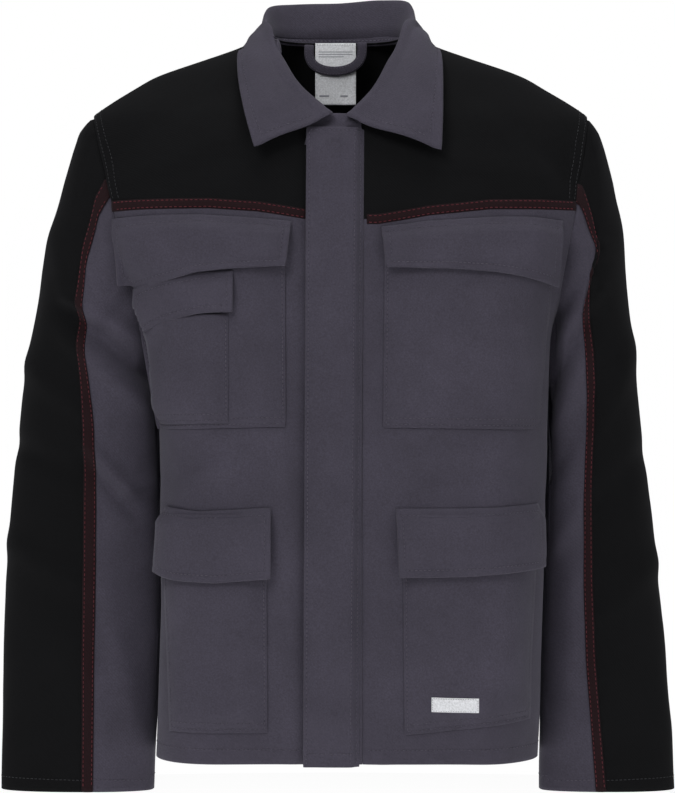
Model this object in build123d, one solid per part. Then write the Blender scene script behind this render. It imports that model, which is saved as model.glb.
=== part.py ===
"""Flame-retardant two-tone welding jacket, held as if worn.

Millimetres. +Z up, the jacket's front faces -Y, the wearer's left is +X.
The origin is the wearer's neck: on the centre line, level with the back neck seam.
Every cloth piece is its own thin solid. Layers lie at named distances outside the torso form.
"""

import math
import os

from build123d import *

# ---------------------------------------------------------------- cloth and layers
cloth = 1.5                 # wall of a body panel
pocket_cloth = 1.2          # wall of a patch pocket
flap_cloth = 1.6            # a flap is two plies
tape_thickness = 0.8
tape_width = 9.0
seam_gap = 0.5              # free space between two bodies
pocket_gap = 6.2            # room inside a pocket
flap_gap = 3.0              # between a pocket and its closed flap, where the press stud sits
placket_gap = 3.0           # between the right front edge and the placket
ply_gap = 0.3               # between the placket's two strips

# ---------------------------------------------------------------- torso form
hem_z = -730.0
# height, right side x, left side x, front y, back y, corner width, corner depth
torso_sections = [
    (hem_z - 15, -181, 200, -124, 112, 60, 70),
    (-580, -175, 205, -126, 113, 60, 70),
    (-430, -177, 209, -127, 114, 62, 70),
    (-300, -184, 214, -125, 114, 66, 72),
    (-190, -243, 256, -121.5, 108, 90, 75),
    (-95, -262, 268, -102, 92, 150, 80),
    (-46, -188, 192, -66, 76, 90, 60),
    (-16, -100, 104, -44, 68, 40, 40),
    (-2, -74, 74, -32, 62, 34, 34),
]
side_seam_y = 2.0
# the front yoke seam, (x, z) from the right armhole to the left one
right_yoke_seam = [(-400, -180), (-223, -180), (-126, -177), (-29, -193), (24, -196)]
left_yoke_seam = [(24, -198), (40, -196), (150, -177), (236, -180), (400, -180)]
back_yoke_seam_z = -190.0

# armhole on the form, the panels' wall comes on top:
# (x, z) at the shoulder tip, at the armpit, and where the sleeve hangs clear
right_armhole_form = ((-245.5, -80), (-189.5, -290), (-181.5, -430))
left_armhole_form = ((249.5, -86), (217.5, -290), (212.5, -430))
right_armhole = tuple((x - cloth, z) for x, z in right_armhole_form)
left_armhole = tuple((x + cloth, z) for x, z in left_armhole_form)

# ---------------------------------------------------------------- neck and collar
collar_cloth = 2.0
# one half of the collar from the centre back to its front end:
# neck seam, fold line and outer edge of the leaf, each (x, y, z)
collar_stations = [
    ((0, 57, -1), (0, 66, 41), (0, 88, -22)),
    ((38, 54, -1), (44, 64, 41), (54, 86, -21)),
    ((58, 38, -1), (69, 48, 36), (89, 68, -8)),
    ((65, 8, -1), (76, 16, 18), (101, 34, -2)),
    ((65, -24, -4), (70, -26, 8), (103, -22, -3)),
    ((57, -56, -34), (58, -65, -26), (103, -74, -38)),
    ((37, -82, -66), (36, -93, -60), (101, -110, -86)),
    ((12, -98, -92), (9, -110, -87), (91, -124, -127)),
]

# ---------------------------------------------------------------- front closure
placket_right_x = -30.0     # free edge
placket_left_x = 26.0       # sewn edge
placket_top_z = -112.0
front_edge_x = 24.5         # where the two fronts meet, hidden by the placket
facing_width = 62.0
facing_top_z = -104.0
stud_count = 6
stud_top_z = -122.0
stud_hem_margin = 53.0      # from the lowest stud to the hem
stud_pitch = (stud_top_z - hem_z - stud_hem_margin) / (stud_count - 1)
stud_x = -2.0

# ---------------------------------------------------------------- press studs
stud_radius = 6.0
stud_base = 0.6
nipple_radius = 1.8
nipple_height = 1.1
socket_thickness = 1.2
nipple_clearance = 0.9
socket_bore = nipple_radius + nipple_clearance
stud_play = 0.3             # between a stud half and the cloth it is riveted to

# ---------------------------------------------------------------- pockets, outlines in (x, z)
pocket_rim = 2.0            # wall of a pocket's sewn edge
pockets = {
    "right_chest_pocket": [(-186, -206), (-52, -206), (-52, -399), (-166, -401)],
    "left_chest_pocket": [(46, -206), (210, -206), (199, -401), (45, -399)],
    "right_lower_pocket": [(-160, -486), (-68, -486), (-70, hem_z + 30), (-150, hem_z + 27)],
    "left_lower_pocket": [(64, -486), (190, -486), (184, hem_z + 38), (66, hem_z + 30)],
}
phone_pocket_outline = [(-172, -296), (-106, -296), (-106, -396), (-160, -397)]
flaps = {
    "right_chest": [(-217, -193), (-135, -190), (-47, -199), (-50, -242), (-125, -246), (-208, -259)],
    "left_chest": [(44, -205), (154, -193), (226, -196), (218, -258), (154, -247), (48, -244)],
    "right_lower": [(-162, -479), (-66, -479), (-66, -546), (-160, -543)],
    "left_lower": [(58, -480), (192, -477), (192, -538), (60, -545)],
}
phone_flap_outline = [(-192, -266), (-103, -252), (-103, -287), (-188, -299)]
flap_studs = {"right_chest": (-120, -231), "left_chest": (122, -231), "right_lower": (-100, -528),
              "left_lower": (118, -526)}

# ---------------------------------------------------------------- sleeves
cuff_z = -771.0
# height, lower x, higher x, half depth
right_sleeve_sections = [
    (cuff_z - 19, -344, -187, 25),
    (-600, -341, -184, 44),
    (-430, -326, -189, 60),
    (-310, -310, -194, 76),
    (-240, -297, -172, 85),
    (-190, -286, -150, 87),
    (-150, -276, -150, 80),
    (-120, -269, -150, 69),
    (-100, -263, -160, 55),
    (-86, -256, -180, 32),
]
left_sleeve_sections = [
    (cuff_z - 19, 204, 345, 25),
    (-600, 214, 334, 44),
    (-430, 218, 313, 60),
    (-310, 222, 300, 76),
    (-240, 196, 291, 85),
    (-190, 176, 284, 87),
    (-150, 170, 276, 80),
    (-120, 170, 270, 69),
    (-104, 180, 265, 55),
    (-91, 196, 259, 32),
]
# the lengthwise seam between the outer and the under sleeve, (x, z)
right_sleeve_seam = [(-225, -178), (-258, -245), (-258, -330), (-250, -560), (-254, cuff_z - 9)]
left_sleeve_seam = [(238, -178), (252, -270), (259, -340), (257, -560), (268, cuff_z - 9)]

# ---------------------------------------------------------------- labels and loop
label_centre_x = -2.0
label_top_z = -1.5
label_y = 50.0
label_cloth = 0.6
care_label_width = 42.0
care_label_height = 64.0
loop_half_width = 32.0
loop_drop = 34.0
loop_strap = 9.0
loop_thickness = 1.2
patch_label_width = 46.0
patch_label_height = 14.0
patch_label_centre = (114.0, hem_z + 59)

FAR = 600.0                 # beyond the jacket on every side


# ================================================================ forms
def rounded_section(section, grow):
    """A rectangle with elliptical corners, grown by a distance."""
    z, x_low, x_high, y_low, y_high, corner_x, corner_y = section
    rx, ry = corner_x + grow, corner_y + grow
    half_x, half_y = (x_high - x_low) / 2 + grow, (y_high - y_low) / 2 + grow
    edges = []
    turns = [(1, 1, 0), (-1, 1, 90), (-1, -1, 180), (1, -1, 270)]
    for sx, sy, start in turns:
        centre = (sx * (half_x - rx), sy * (half_y - ry))
        edges.append(EllipticalCenterArc(centre, rx, ry, start, arc_size=90))
    for before, after in zip(edges, edges[1:] + edges[:1]):
        edges.append(Line(before @ 1, after @ 0))
    face = make_face(edges)
    return Plane(origin=((x_low + x_high) / 2, (y_low + y_high) / 2, z)) * face


def torso_form(grow):
    """The closed shape of the torso, grown by a distance all round."""
    top = torso_sections[-1]
    lifted = (top[0] + grow,) + top[1:]
    return loft([rounded_section(s, grow) for s in torso_sections[:-1] + [lifted]], ruled=True)


def sleeve_form(sections, grow):
    """The closed shape of one sleeve, grown by a distance all round."""
    faces = []
    for z, x_low, x_high, half_depth in sections:
        lift = grow if z == sections[-1][0] else 0
        place = Plane(origin=((x_low + x_high) / 2, 0, z + lift))
        faces.append(place * Ellipse((x_high - x_low) / 2 + grow, half_depth + grow))
    return loft(faces, ruled=True)


def front_prism(points, y0=-FAR, y1=FAR):
    """A solid of an outline of (x, z) points, reaching from y0 to y1."""
    face = make_face(Polyline([(x, y0, z) for x, z in points], close=True))
    return extrude(face, amount=y1 - y0, dir=(0, 1, 0))


def front_box(x0, x1, z0, z1, y0=-FAR, y1=FAR):
    return front_prism([(x0, z0), (x1, z0), (x1, z1), (x0, z1)], y0, y1)


def slope_x(top, low, z):
    """The x of the line through two (x, z) points at a height."""
    return low[0] + (top[0] - low[0]) * (z - low[1]) / (top[1] - low[1])


def shoulder_wedge(armhole, side):
    """What the armhole takes off the torso. side is -1 on the right and 1 on the left."""
    top, pit, _ = armhole
    return front_prism([(slope_x(top, pit, FAR), FAR), pit, (side * 3 * FAR, pit[1]),
                        (side * 3 * FAR, FAR)])


def sleeve_side(armhole, side, gap):
    """Everything outside the armhole and, below it, clear of the torso."""
    top, pit, low = armhole
    line = [(slope_x(top, pit, FAR), FAR), pit, low, (low[0], cuff_z)]
    shifted = [(x + side * gap, z) for x, z in line]
    return front_prism(shifted + [(side * 3 * FAR, cuff_z), (side * 3 * FAR, FAR)])


layer_forms = {}


def form(distance):
    """The torso form grown by a distance, built once for each distance."""
    key = round(distance, 3)
    if key not in layer_forms:
        layer_forms[key] = torso_form(key)
    return layer_forms[key]


def layer(inner, outer, region):
    """The part of a region that lies between two distances outside the torso form."""
    return (region & form(outer)) - form(inner)


def keep_solids(shape, least):
    """The shape as one compound of solids, without slivers."""
    return Compound(children=[s for s in shape.solids() if s.volume > least])


# ================================================================ neck and collar
def whole_collar(column):
    """One line of the collar from its right front end round the back to its left front end."""
    half = [Vector(*station[column]) for station in collar_stations]
    right = [Vector(-p.X, p.Y, p.Z) for p in reversed(half[1:])]
    return right + half


def collar_band(low, high, thickness):
    """Cloth between two lines, thickened towards the left-hand side of low to high."""
    faces = []
    for n, (a, b) in enumerate(zip(low, high)):
        before, after = max(n - 1, 0), min(n + 1, len(low) - 1)
        along = (low[after] + high[after]) - (low[before] + high[before])
        out = along.cross(b - a).normalized() * thickness
        faces.append(make_face(Polyline([a, b, b + out, a + out], close=True)))
    return loft(faces, ruled=True)


def neck_cutter():
    outline = [(p.X, p.Y) for p in whole_collar(0)]
    face = offset(make_face(Polyline(outline, close=True)), amount=0.6, kind=Kind.INTERSECTION)
    return extrude(Pos(0, 0, facing_top_z + 2) * face, amount=FAR)


def collar_pieces(shell):
    seam, fold, edge = whole_collar(0), whole_collar(1), whole_collar(2)
    return {
        "collar_stand": collar_band(seam, fold, collar_cloth) - shell,
        "collar_leaf": collar_band(fold, edge, collar_cloth) - form(cloth + 1.0),
    }


# ================================================================ torso panels
def torso_region():
    whole = Pos(0, 0, hem_z + FAR) * Box(4 * FAR, 4 * FAR, 2 * FAR)
    return whole - shoulder_wedge(right_armhole, -1) - shoulder_wedge(left_armhole, 1) - neck_cutter()


def beside_line(line, z):
    """The front half of space between a line of (x, z) points and a far height."""
    return front_prism(line + [(line[-1][0], z), (line[0][0], z)], -FAR, side_seam_y)


def body_panels(shell):
    right = front_box(-FAR, front_edge_x - 0.5, hem_z - 50, 60)
    left = front_box(front_edge_x, FAR, hem_z - 50, 60)
    back = front_box(-FAR, FAR, hem_z - 50, 60, side_seam_y, FAR)
    above = front_box(-FAR, FAR, back_yoke_seam_z, 60)
    return {
        "right_front_panel": shell & right & beside_line(right_yoke_seam, hem_z - 50),
        "right_front_yoke": shell & right & beside_line(right_yoke_seam, 60),
        "left_front_panel": shell & left & beside_line(left_yoke_seam, hem_z - 50),
        "left_front_yoke": shell & left & beside_line(left_yoke_seam, 60),
        "back_panel": (shell & back) - above,
        "back_yoke": shell & back & above,
    }


def facings(region):
    """Strips that back the two front edges on the inside."""
    lining = layer(-cloth, 0, region)
    return {
        "right_front_facing": lining & front_box(front_edge_x - facing_width, front_edge_x - 0.5,
                                                 hem_z, facing_top_z, -FAR, 0),
        "left_front_facing": lining & front_box(front_edge_x, front_edge_x + facing_width,
                                                hem_z, facing_top_z, -FAR, 0),
    }


def seam_band(line):
    """A tape's outline along a line of (x, z) points."""
    half = tape_width / 2
    return [(x, z - half) for x, z in line] + [(x, z + half) for x, z in reversed(line)]


def seam_tapes(region):
    """The contrast bands along the yoke seams."""
    band = layer(cloth, cloth + tape_thickness, region)
    half = tape_width / 2
    beside_placket = front_box(placket_right_x - 1, placket_left_x + 3, -FAR, FAR)
    return {
        "right_yoke_tape": (band & front_prism(seam_band(right_yoke_seam), y1=side_seam_y)) - beside_placket,
        "left_yoke_tape": (band & front_prism(seam_band(left_yoke_seam), y1=side_seam_y)) - beside_placket,
        "back_yoke_tape": band & front_box(-FAR, FAR, back_yoke_seam_z - half, back_yoke_seam_z + half,
                                           side_seam_y, FAR),
    }


# ================================================================ pockets and flaps
def inset_outline(outline, rim):
    """A pocket's outline drawn in at its sides and bottom, and raised at its mouth."""
    (ax, az), (bx, bz), (cx, cz), (dx, dz) = outline
    return [(ax + rim, az + rim), (bx - rim, bz + rim), (cx - rim, cz + rim), (dx + rim, dz + rim)]


def patch_pocket(outline, base):
    """A pouch open at its top: a front wall, and a rim down both sides and along the bottom."""
    pouch = layer(base, base + pocket_gap + pocket_cloth, front_prism(outline, y1=0))
    inside = front_prism(inset_outline(outline, pocket_rim), y1=0)
    return pouch - (inside & form(base + pocket_gap))


def flap(outline, base):
    return layer(base, base + flap_cloth, front_prism(outline, y1=0))


def torso_front_y(z):
    """Where the torso form's flat front lies at a height."""
    for low, high in zip(torso_sections, torso_sections[1:]):
        if low[0] <= z <= high[0]:
            return low[3] + (z - low[0]) / (high[0] - low[0]) * (high[3] - low[3])
    raise ValueError("height outside the torso")


def outward_place(x, z, distance):
    """A plane on the torso's flat front, whose Z points straight out of the jacket."""
    lean = math.atan2(torso_front_y(z + 1) - torso_front_y(z - 1), 2)
    out = (0, -math.cos(lean), math.sin(lean))
    surface = torso_front_y(z) - distance / math.cos(lean)
    return Plane(origin=(x, surface, z), x_dir=(1, 0, 0), z_dir=out)


def snap_stud(x, z, surface):
    """The half with the nipple, standing on a cloth surface at a distance outside the form."""
    place = outward_place(x, z, surface + stud_play)
    base = place * Pos(0, 0, stud_base / 2) * Cylinder(stud_radius, stud_base)
    nipple = place * Pos(0, 0, stud_base + nipple_height / 2) * Cylinder(nipple_radius, nipple_height)
    return base + nipple


def snap_socket(x, z, surface):
    """The half with the hole, hanging inwards from a cloth surface."""
    ring = Cylinder(stud_radius, socket_thickness) - Cylinder(socket_bore, 2 * socket_thickness)
    return outward_place(x, z, surface - stud_play) * Pos(0, 0, -socket_thickness / 2) * ring


def pockets_and_flaps():
    parts = {}
    pocket_face = cloth + pocket_gap + pocket_cloth
    phone_face = pocket_face + pocket_gap + pocket_cloth
    for name, outline in pockets.items():
        parts[name] = patch_pocket(outline, cloth)
    parts["phone_pocket"] = patch_pocket(phone_pocket_outline, pocket_face)
    parts["phone_flap"] = flap(phone_flap_outline, phone_face + flap_gap)
    studs = []
    for name, outline in flaps.items():
        parts[name + "_flap"] = flap(outline, pocket_face + flap_gap)
        x, z = flap_studs[name]
        studs.append(snap_stud(x, z, pocket_face))
        parts[name + "_flap_socket"] = snap_socket(x, z, pocket_face + flap_gap)
    parts["pocket_snap_studs"] = Compound(children=studs)
    x, z = patch_label_centre
    label = front_box(x - patch_label_width / 2, x + patch_label_width / 2,
                      z - patch_label_height / 2, z + patch_label_height / 2, y1=0)
    parts["pocket_label"] = layer(pocket_face, pocket_face + label_cloth, label)
    return parts


def front_placket():
    """An inner strip that holds the sockets, and an outer strip that hides them."""
    strip = front_box(placket_right_x, placket_left_x, hem_z, placket_top_z, y1=0)
    inner = cloth + placket_gap
    outer = inner + cloth + ply_gap
    heights = [stud_top_z - stud_pitch * n for n in range(stud_count)]
    return {
        "front_placket_inner": layer(inner, inner + cloth, strip),
        "front_placket_outer": layer(outer, outer + cloth, strip),
        "placket_snap_studs": Compound(children=[snap_stud(stud_x, z, cloth) for z in heights]),
        "placket_snap_sockets": Compound(children=[snap_socket(stud_x, z, inner) for z in heights]),
    }


# ================================================================ sleeves
def sleeve_pieces(name, sections, armhole, side, seam):
    outer = sleeve_form(sections, cloth)
    region = sleeve_side(armhole, side, seam_gap)
    shell = (outer & region) - sleeve_form(sections, 0)
    far_x = side * 3 * FAR
    line = [(seam[0][0] - side * 60, 20)] + seam
    beyond_seam = front_prism(line + [(far_x, seam[-1][1]), (far_x, 20)])
    half = tape_width / 2
    band = [(x - half, z) for x, z in seam] + [(x + half, z) for x, z in reversed(seam)]
    taped = (sleeve_form(sections, cloth + tape_thickness) & region & front_prism(band)) - outer
    return {
        name + "_sleeve_outer": shell & beyond_seam,
        name + "_sleeve_under": shell - beyond_seam,
        name + "_sleeve_tape": taped,
    }


# ================================================================ labels and loop
def neck_label():
    half = care_label_width / 2
    return front_box(label_centre_x - half, label_centre_x + half, label_top_z - care_label_height,
                     label_top_z, label_y - label_cloth, label_y)


def loop_outline(half_width, drop):
    outline = fillet(Rectangle(2 * half_width, 2 * drop).vertices(), drop * 0.7)
    y = label_y - label_cloth - 1.0
    place = Plane(origin=(label_centre_x, y, label_top_z), x_dir=(1, 0, 0), z_dir=(0, -1, 0))
    return extrude(place * outline, amount=loop_thickness)


def hanger_loop():
    """A strap hanging from the neck seam in a U, in front of the care label."""
    strap = loop_outline(loop_half_width, loop_drop)
    strap = strap - loop_outline(loop_half_width - loop_strap, loop_drop - loop_strap)
    return strap - front_box(-FAR, FAR, label_top_z, FAR)


# ================================================================ assembly
def build():
    region = torso_region()
    parts = {}
    shell = layer(0, cloth, region)
    parts.update(body_panels(shell))
    parts.update(facings(region))
    parts.update(seam_tapes(region))
    parts.update(collar_pieces(shell))
    parts.update(pockets_and_flaps())
    parts.update(front_placket())
    parts.update(sleeve_pieces("right", right_sleeve_sections, right_armhole, -1, right_sleeve_seam))
    parts.update(sleeve_pieces("left", left_sleeve_sections, left_armhole, 1, left_sleeve_seam))
    parts["care_label"] = neck_label()
    parts["hanger_loop"] = hanger_loop()
    return parts


def main():
    os.makedirs("parts", exist_ok=True)
    for name, shape in build().items():
        solids = keep_solids(shape, least=8.0)
        solids.label = name
        export_step(solids, f"parts/{name}.step")


if __name__ == "__main__":
    main()
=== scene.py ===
"""Looks of the two-tone welding jacket, in the CAD's frame. Lengths are millimetres until a mesh is made."""

import math

import bmesh
import bpy
import numpy as np
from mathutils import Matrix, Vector


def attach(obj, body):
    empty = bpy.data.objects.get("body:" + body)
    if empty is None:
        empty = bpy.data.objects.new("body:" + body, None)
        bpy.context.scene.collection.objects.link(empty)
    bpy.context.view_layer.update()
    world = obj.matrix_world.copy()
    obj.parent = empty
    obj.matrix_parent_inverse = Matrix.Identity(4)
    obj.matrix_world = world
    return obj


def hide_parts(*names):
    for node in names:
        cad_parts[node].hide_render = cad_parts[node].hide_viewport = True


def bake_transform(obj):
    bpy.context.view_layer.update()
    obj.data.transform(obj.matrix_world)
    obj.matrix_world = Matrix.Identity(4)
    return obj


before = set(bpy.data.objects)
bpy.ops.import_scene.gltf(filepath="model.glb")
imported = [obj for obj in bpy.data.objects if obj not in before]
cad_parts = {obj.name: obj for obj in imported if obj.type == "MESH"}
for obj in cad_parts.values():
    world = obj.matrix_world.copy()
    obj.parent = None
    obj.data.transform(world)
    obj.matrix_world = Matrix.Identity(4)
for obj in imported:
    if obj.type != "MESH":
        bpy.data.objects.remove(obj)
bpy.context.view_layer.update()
MM = 0.001

BODY_CLOTH = 1.5        # thickness of a body panel or sleeve
POCKET_CLOTH = 1.2
FLAP_CLOTH = 2.0
BAND_CLOTH = 0.8
TABLE_STEP = 2.0        # spacing of the surface tables, along an arc and across the shoulders

# ---- the torso form, as in the CAD
# height, right side x, left side x, front y, back y, corner width, corner depth
TORSO = np.array([
    (-745, -181, 200, -124, 112, 60, 70),
    (-580, -175, 205, -126, 113, 60, 70),
    (-430, -177, 209, -127, 114, 62, 70),
    (-300, -184, 214, -125, 114, 66, 72),
    (-190, -243, 256, -121.5, 108, 90, 75),
    (-95, -262, 268, -102, 92, 150, 80),
    (-46, -188, 192, -66, 76, 90, 60),
    (-16, -100, 104, -44, 68, 40, 40),
    (-2, -74, 74, -32, 62, 34, 34),
], float)
ARMHOLE = {-1: ((-247.0, -80.0), (-191.0, -290.0)), 1: ((251.0, -86.0), (219.0, -290.0))}
YOKE_SEAM = {-1: [(-320, -182), (-223, -182), (-126, -181), (-80, -184), (-29, -191.5), (0, -196)],
             1: [(0, -196), (40, -196), (90, -187), (150, -181), (236, -181), (320, -181)]}
BACK_SEAM_Z = -190.0
HEM_Z = -730.0
SIDE_Y = 2.0


def smooth_rows(rows, sigma):
    """Rows smoothed along their first axis, ends carried on in a straight line."""
    reach = int(3 * sigma)
    kernel = np.exp(-0.5 * (np.arange(-reach, reach + 1) / sigma) ** 2)
    kernel /= kernel.sum()
    before = rows[0] + (rows[0] - rows[1]) * np.arange(reach, 0, -1)[:, None]
    after = rows[-1] + (rows[-1] - rows[-2]) * np.arange(1, reach + 1)[:, None]
    padded = np.vstack([before, rows, after])
    return np.stack([np.convolve(padded[:, k], kernel, "valid") for k in range(rows.shape[1])], 1)


FORM_Z = np.arange(-745.0, -1.5, 1.0)
raw = np.stack([np.interp(FORM_Z, TORSO[:, 0], TORSO[:, k]) for k in range(1, 7)], 1)
near_top = np.clip((FORM_Z + 110) / 60, 0, 1)[:, None]
FORM = smooth_rows(raw, 14) * (1 - near_top) + smooth_rows(raw, 4) * near_top


def form_at(z):
    """The torso's section at a height, as in TORSO's columns after the first."""
    z = np.clip(np.asarray(z, float), FORM_Z[0], FORM_Z[-1])
    return [np.interp(z, FORM_Z, FORM[:, k]) for k in range(6)]


def form_y(x, z, face):
    """The y of the torso's front (face -1) or back (face 1) at a place."""
    x_low, x_high, y_front, y_back, rx, ry = form_at(z)
    into = np.maximum(x - (x_high - rx), (x_low + rx) - x) / rx
    into = np.clip(into, 0, 1)
    depth = ry * (1 - np.sqrt(np.maximum(1 - into ** 2, 0)))
    return y_front + depth if face < 0 else y_back - depth


def arc_length(line):
    """Distance along a line of points, at each point."""
    return np.concatenate([[0], np.cumsum(np.linalg.norm(np.diff(line, axis=0), axis=1))])


def ring_profile(row, side, face):
    """One height's line from the centre to the side seam and past it: x, y and arc length."""
    x_low, x_high, y_front, y_back, rx, ry = row
    wide = x_high if side > 0 else -x_low
    flat_y = y_front if face < 0 else y_back
    turn = np.linspace(0, math.pi / 2, 60)
    xs = np.concatenate([[0.0], wide - rx + rx * np.sin(turn), [wide, wide]])
    corner = flat_y - face * ry + face * ry * np.cos(turn)
    ys = np.concatenate([[flat_y], corner, [SIDE_Y, SIDE_Y - face * 150]])
    return xs, ys, arc_length(np.stack([xs, ys], 1))


RING_ALONG = np.arange(0, 440.0, TABLE_STEP)
# for each side and face: the torso's rings, and the arc length to the side seam
RINGS, SIDE_U = {}, {}
for side, face in ((-1, -1), (-1, 1), (1, -1), (1, 1)):
    profiles = [ring_profile(row, side, face) for row in FORM]
    rings = [(side * np.interp(RING_ALONG, steps, xs), np.interp(RING_ALONG, steps, ys))
             for xs, ys, steps in profiles]
    RINGS[side, face] = np.array(rings).transpose(0, 2, 1)
    SIDE_U[side, face] = np.array([steps[-2] for xs, ys, steps in profiles])


def bilinear(table, i, j):
    """A table's value between its rows i and columns j."""
    i = np.clip(i, 0, table.shape[0] - 1.001)
    j = np.clip(j, 0, table.shape[1] - 1.001)
    i0, j0 = i.astype(int), j.astype(int)
    a, b = (i - i0)[..., None], (j - j0)[..., None]
    return (table[i0, j0] * (1 - a) * (1 - b) + table[i0 + 1, j0] * a * (1 - b)
            + table[i0, j0 + 1] * (1 - a) * b + table[i0 + 1, j0 + 1] * a * b)


def ring_point(u, z, side, face):
    """The form's point at arc length u from the centre line, at height z."""
    xy = bilinear(RINGS[side, face], np.asarray(z, float) - FORM_Z[0], np.asarray(u, float) / TABLE_STEP)
    return np.stack([xy[..., 0], xy[..., 1], np.broadcast_to(z, xy[..., 0].shape)], -1)


def u_of_x(x, z, side, face):
    """Arc length at which the ring at height z reaches x, before the flank."""
    x, z = np.broadcast_arrays(np.asarray(x, float), np.asarray(z, float))
    out = np.empty(x.shape)
    rows = np.clip(z - FORM_Z[0], 0, len(FORM_Z) - 1).astype(int)
    for index in np.ndindex(x.shape):
        ring = side * RINGS[side, face][rows[index], :, 0]
        out[index] = np.interp(side * x[index], ring, RING_ALONG)
    return out


ARCH_X = np.arange(-268.0, 270.0, TABLE_STEP)
ARCH_ALONG = np.arange(0, 300.0, TABLE_STEP)


def arch_table(face):
    """For x across the shoulders: (y, z) by arc length from the shoulder line down one face."""
    table = np.zeros((len(ARCH_X), len(ARCH_ALONG), 2))
    levels = FORM_Z[::-1]
    for n, x in enumerate(ARCH_X):
        x_low, x_high = form_at(levels)[:2]
        zs = levels[(x > x_low) & (x < x_high)]
        top = zs[0] if len(zs) else -95.0
        ys = np.concatenate([[SIDE_Y], form_y(x, zs, face)])
        zs = np.concatenate([[top + 0.3], zs])
        steps = arc_length(np.stack([ys, zs], 1))
        table[n] = np.stack([np.interp(ARCH_ALONG, steps, ys), np.interp(ARCH_ALONG, steps, zs)], 1)
    # soften along both directions, keeping the shoulder line
    for _ in range(3):
        soft = table.copy()
        soft[1:-1] = (table[:-2] + 2 * table[1:-1] + table[2:]) / 4
        soft[:, 1:-1] = (soft[:, :-2] + 2 * soft[:, 1:-1] + soft[:, 2:]) / 4
        table[:, 1:] = soft[:, 1:]
    return table


ARCHES = {f: arch_table(f) for f in (-1, 1)}


def arch_column(x, face):
    """The table's (y, z) rows nearest to x."""
    n = int(round((x - ARCH_X[0]) / TABLE_STEP))
    return ARCHES[face][min(max(n, 0), len(ARCH_X) - 1)]


def arch_point(x, w, face):
    """The yoke's point at x, an arc length w down from the shoulder line."""
    x, w = np.broadcast_arrays(np.asarray(x, float), np.asarray(w, float))
    yz = bilinear(ARCHES[face], (x - ARCH_X[0]) / TABLE_STEP, w / TABLE_STEP)
    return np.stack([x, yz[..., 0], yz[..., 1]], -1)


def w_of_z(x, z, face):
    """Arc length below the shoulder line at which the arch at x reaches height z."""
    x, z = np.broadcast_arrays(np.asarray(x, float), np.asarray(z, float))
    out = np.empty(x.shape)
    for index in np.ndindex(x.shape):
        down = arch_column(x[index], face)[:, 1]
        out[index] = np.interp(-z[index], -down, ARCH_ALONG)
    return out


# ---- folds
def value_noise(points, scale, seed, squeeze=(1, 1, 1)):
    """Smooth noise between -1 and 1 at points, with cells of a size in millimetres."""
    p = points * np.array(squeeze) / scale + seed * 17.3
    base = np.floor(p).astype(np.int64)
    t = p - base
    t = t * t * t * (t * (t * 6 - 15) + 10)
    total = 0
    for corner in np.ndindex(2, 2, 2):
        # large odd numbers scatter each cell corner's whole-number place into one fixed value
        cell = base + np.array(corner)
        mixed = (cell @ np.array([374761393, 668265263, 2147483647]) + seed * 974711) & 0x7FFFFFFF
        mixed = ((mixed ^ (mixed >> 13)) * 1274126177) & 0x7FFFFFFF
        value = ((mixed ^ (mixed >> 16)) % 20011) / 10005.5 - 1
        total = total + value * np.where(corner, t, 1 - t).prod(-1)
    return total


def crease(points, start, end, height, width, fade=0.35):
    """A ridge (or a valley, height below 0) along a line of the front view, fading at its ends."""
    ax, az = start
    bx, bz = end
    length = math.hypot(bx - ax, bz - az)
    ux, uz = (bx - ax) / length, (bz - az) / length
    dx, dz = points[..., 0] - ax, points[..., 2] - az
    along = (dx * ux + dz * uz) / length
    across = -dx * uz + dz * ux
    ends = np.clip((along + fade) / fade, 0, 1) * np.clip((1 + fade - along) / fade, 0, 1)
    ends = ends * ends * (3 - 2 * ends)
    return height * ends * np.exp(-(across / width) ** 2)


def torso_folds(points):
    """How far the torso's cloth stands out of its form, for points on the form."""
    front = points[..., 1] < SIDE_Y
    soft = value_noise(points, 95, 3, (1, 1, 0.55)) * 4.2 + value_noise(points, 42, 8, (1, 1, 0.7)) * 1.8
    low = np.clip((-560 - points[..., 2]) / 170, 0, 1)
    hem_wave = low * 2.6 * np.sin(points[..., 0] / 34.0 + 0.8) * np.cos(points[..., 0] / 83.0)
    made = 0
    for start, end, height, width in FRONT_CREASES:
        made = made + crease(points, start, end, height * 1.5, width)
    top = np.clip((-30 - points[..., 2]) / 60, 0, 1)
    folds = (soft + hem_wave) * top + np.where(front, made, 0)
    # the cloth lies flat where press studs are set in it
    flat = 0.9 * np.exp(-((points[..., 0] - STUD_X) / 15.0) ** 2)
    for x, z in FLAP_STUDS.values():
        r2 = (points[..., 0] - x) ** 2 + (points[..., 2] - z) ** 2
        flat = np.maximum(flat, 0.95 * np.exp(-r2 / 26.0 ** 2))
    return folds * np.where(front, 1 - flat, 1)


def at_stud(lift, x, z, name, level, reach=12.0):
    """Brings a layer's height to the level at which its press stud is set."""
    stud_x, stud_z = FLAP_STUDS[name]
    weight = np.exp(-(((x - stud_x) ** 2 + (z - stud_z) ** 2) / reach ** 2) ** 1.5)
    return lift + (level - lift) * weight


# press studs: the placket's column, and one under each big flap, as (x, z)
STUD_X = -2.0
STUD_Z = [-122.0 - 111.0 * n for n in range(6)]
FLAP_STUDS = {"right_chest": (-120, -231), "left_chest": (122, -231), "right_lower": (-100, -528),
              "left_lower": (118, -526)}

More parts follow.
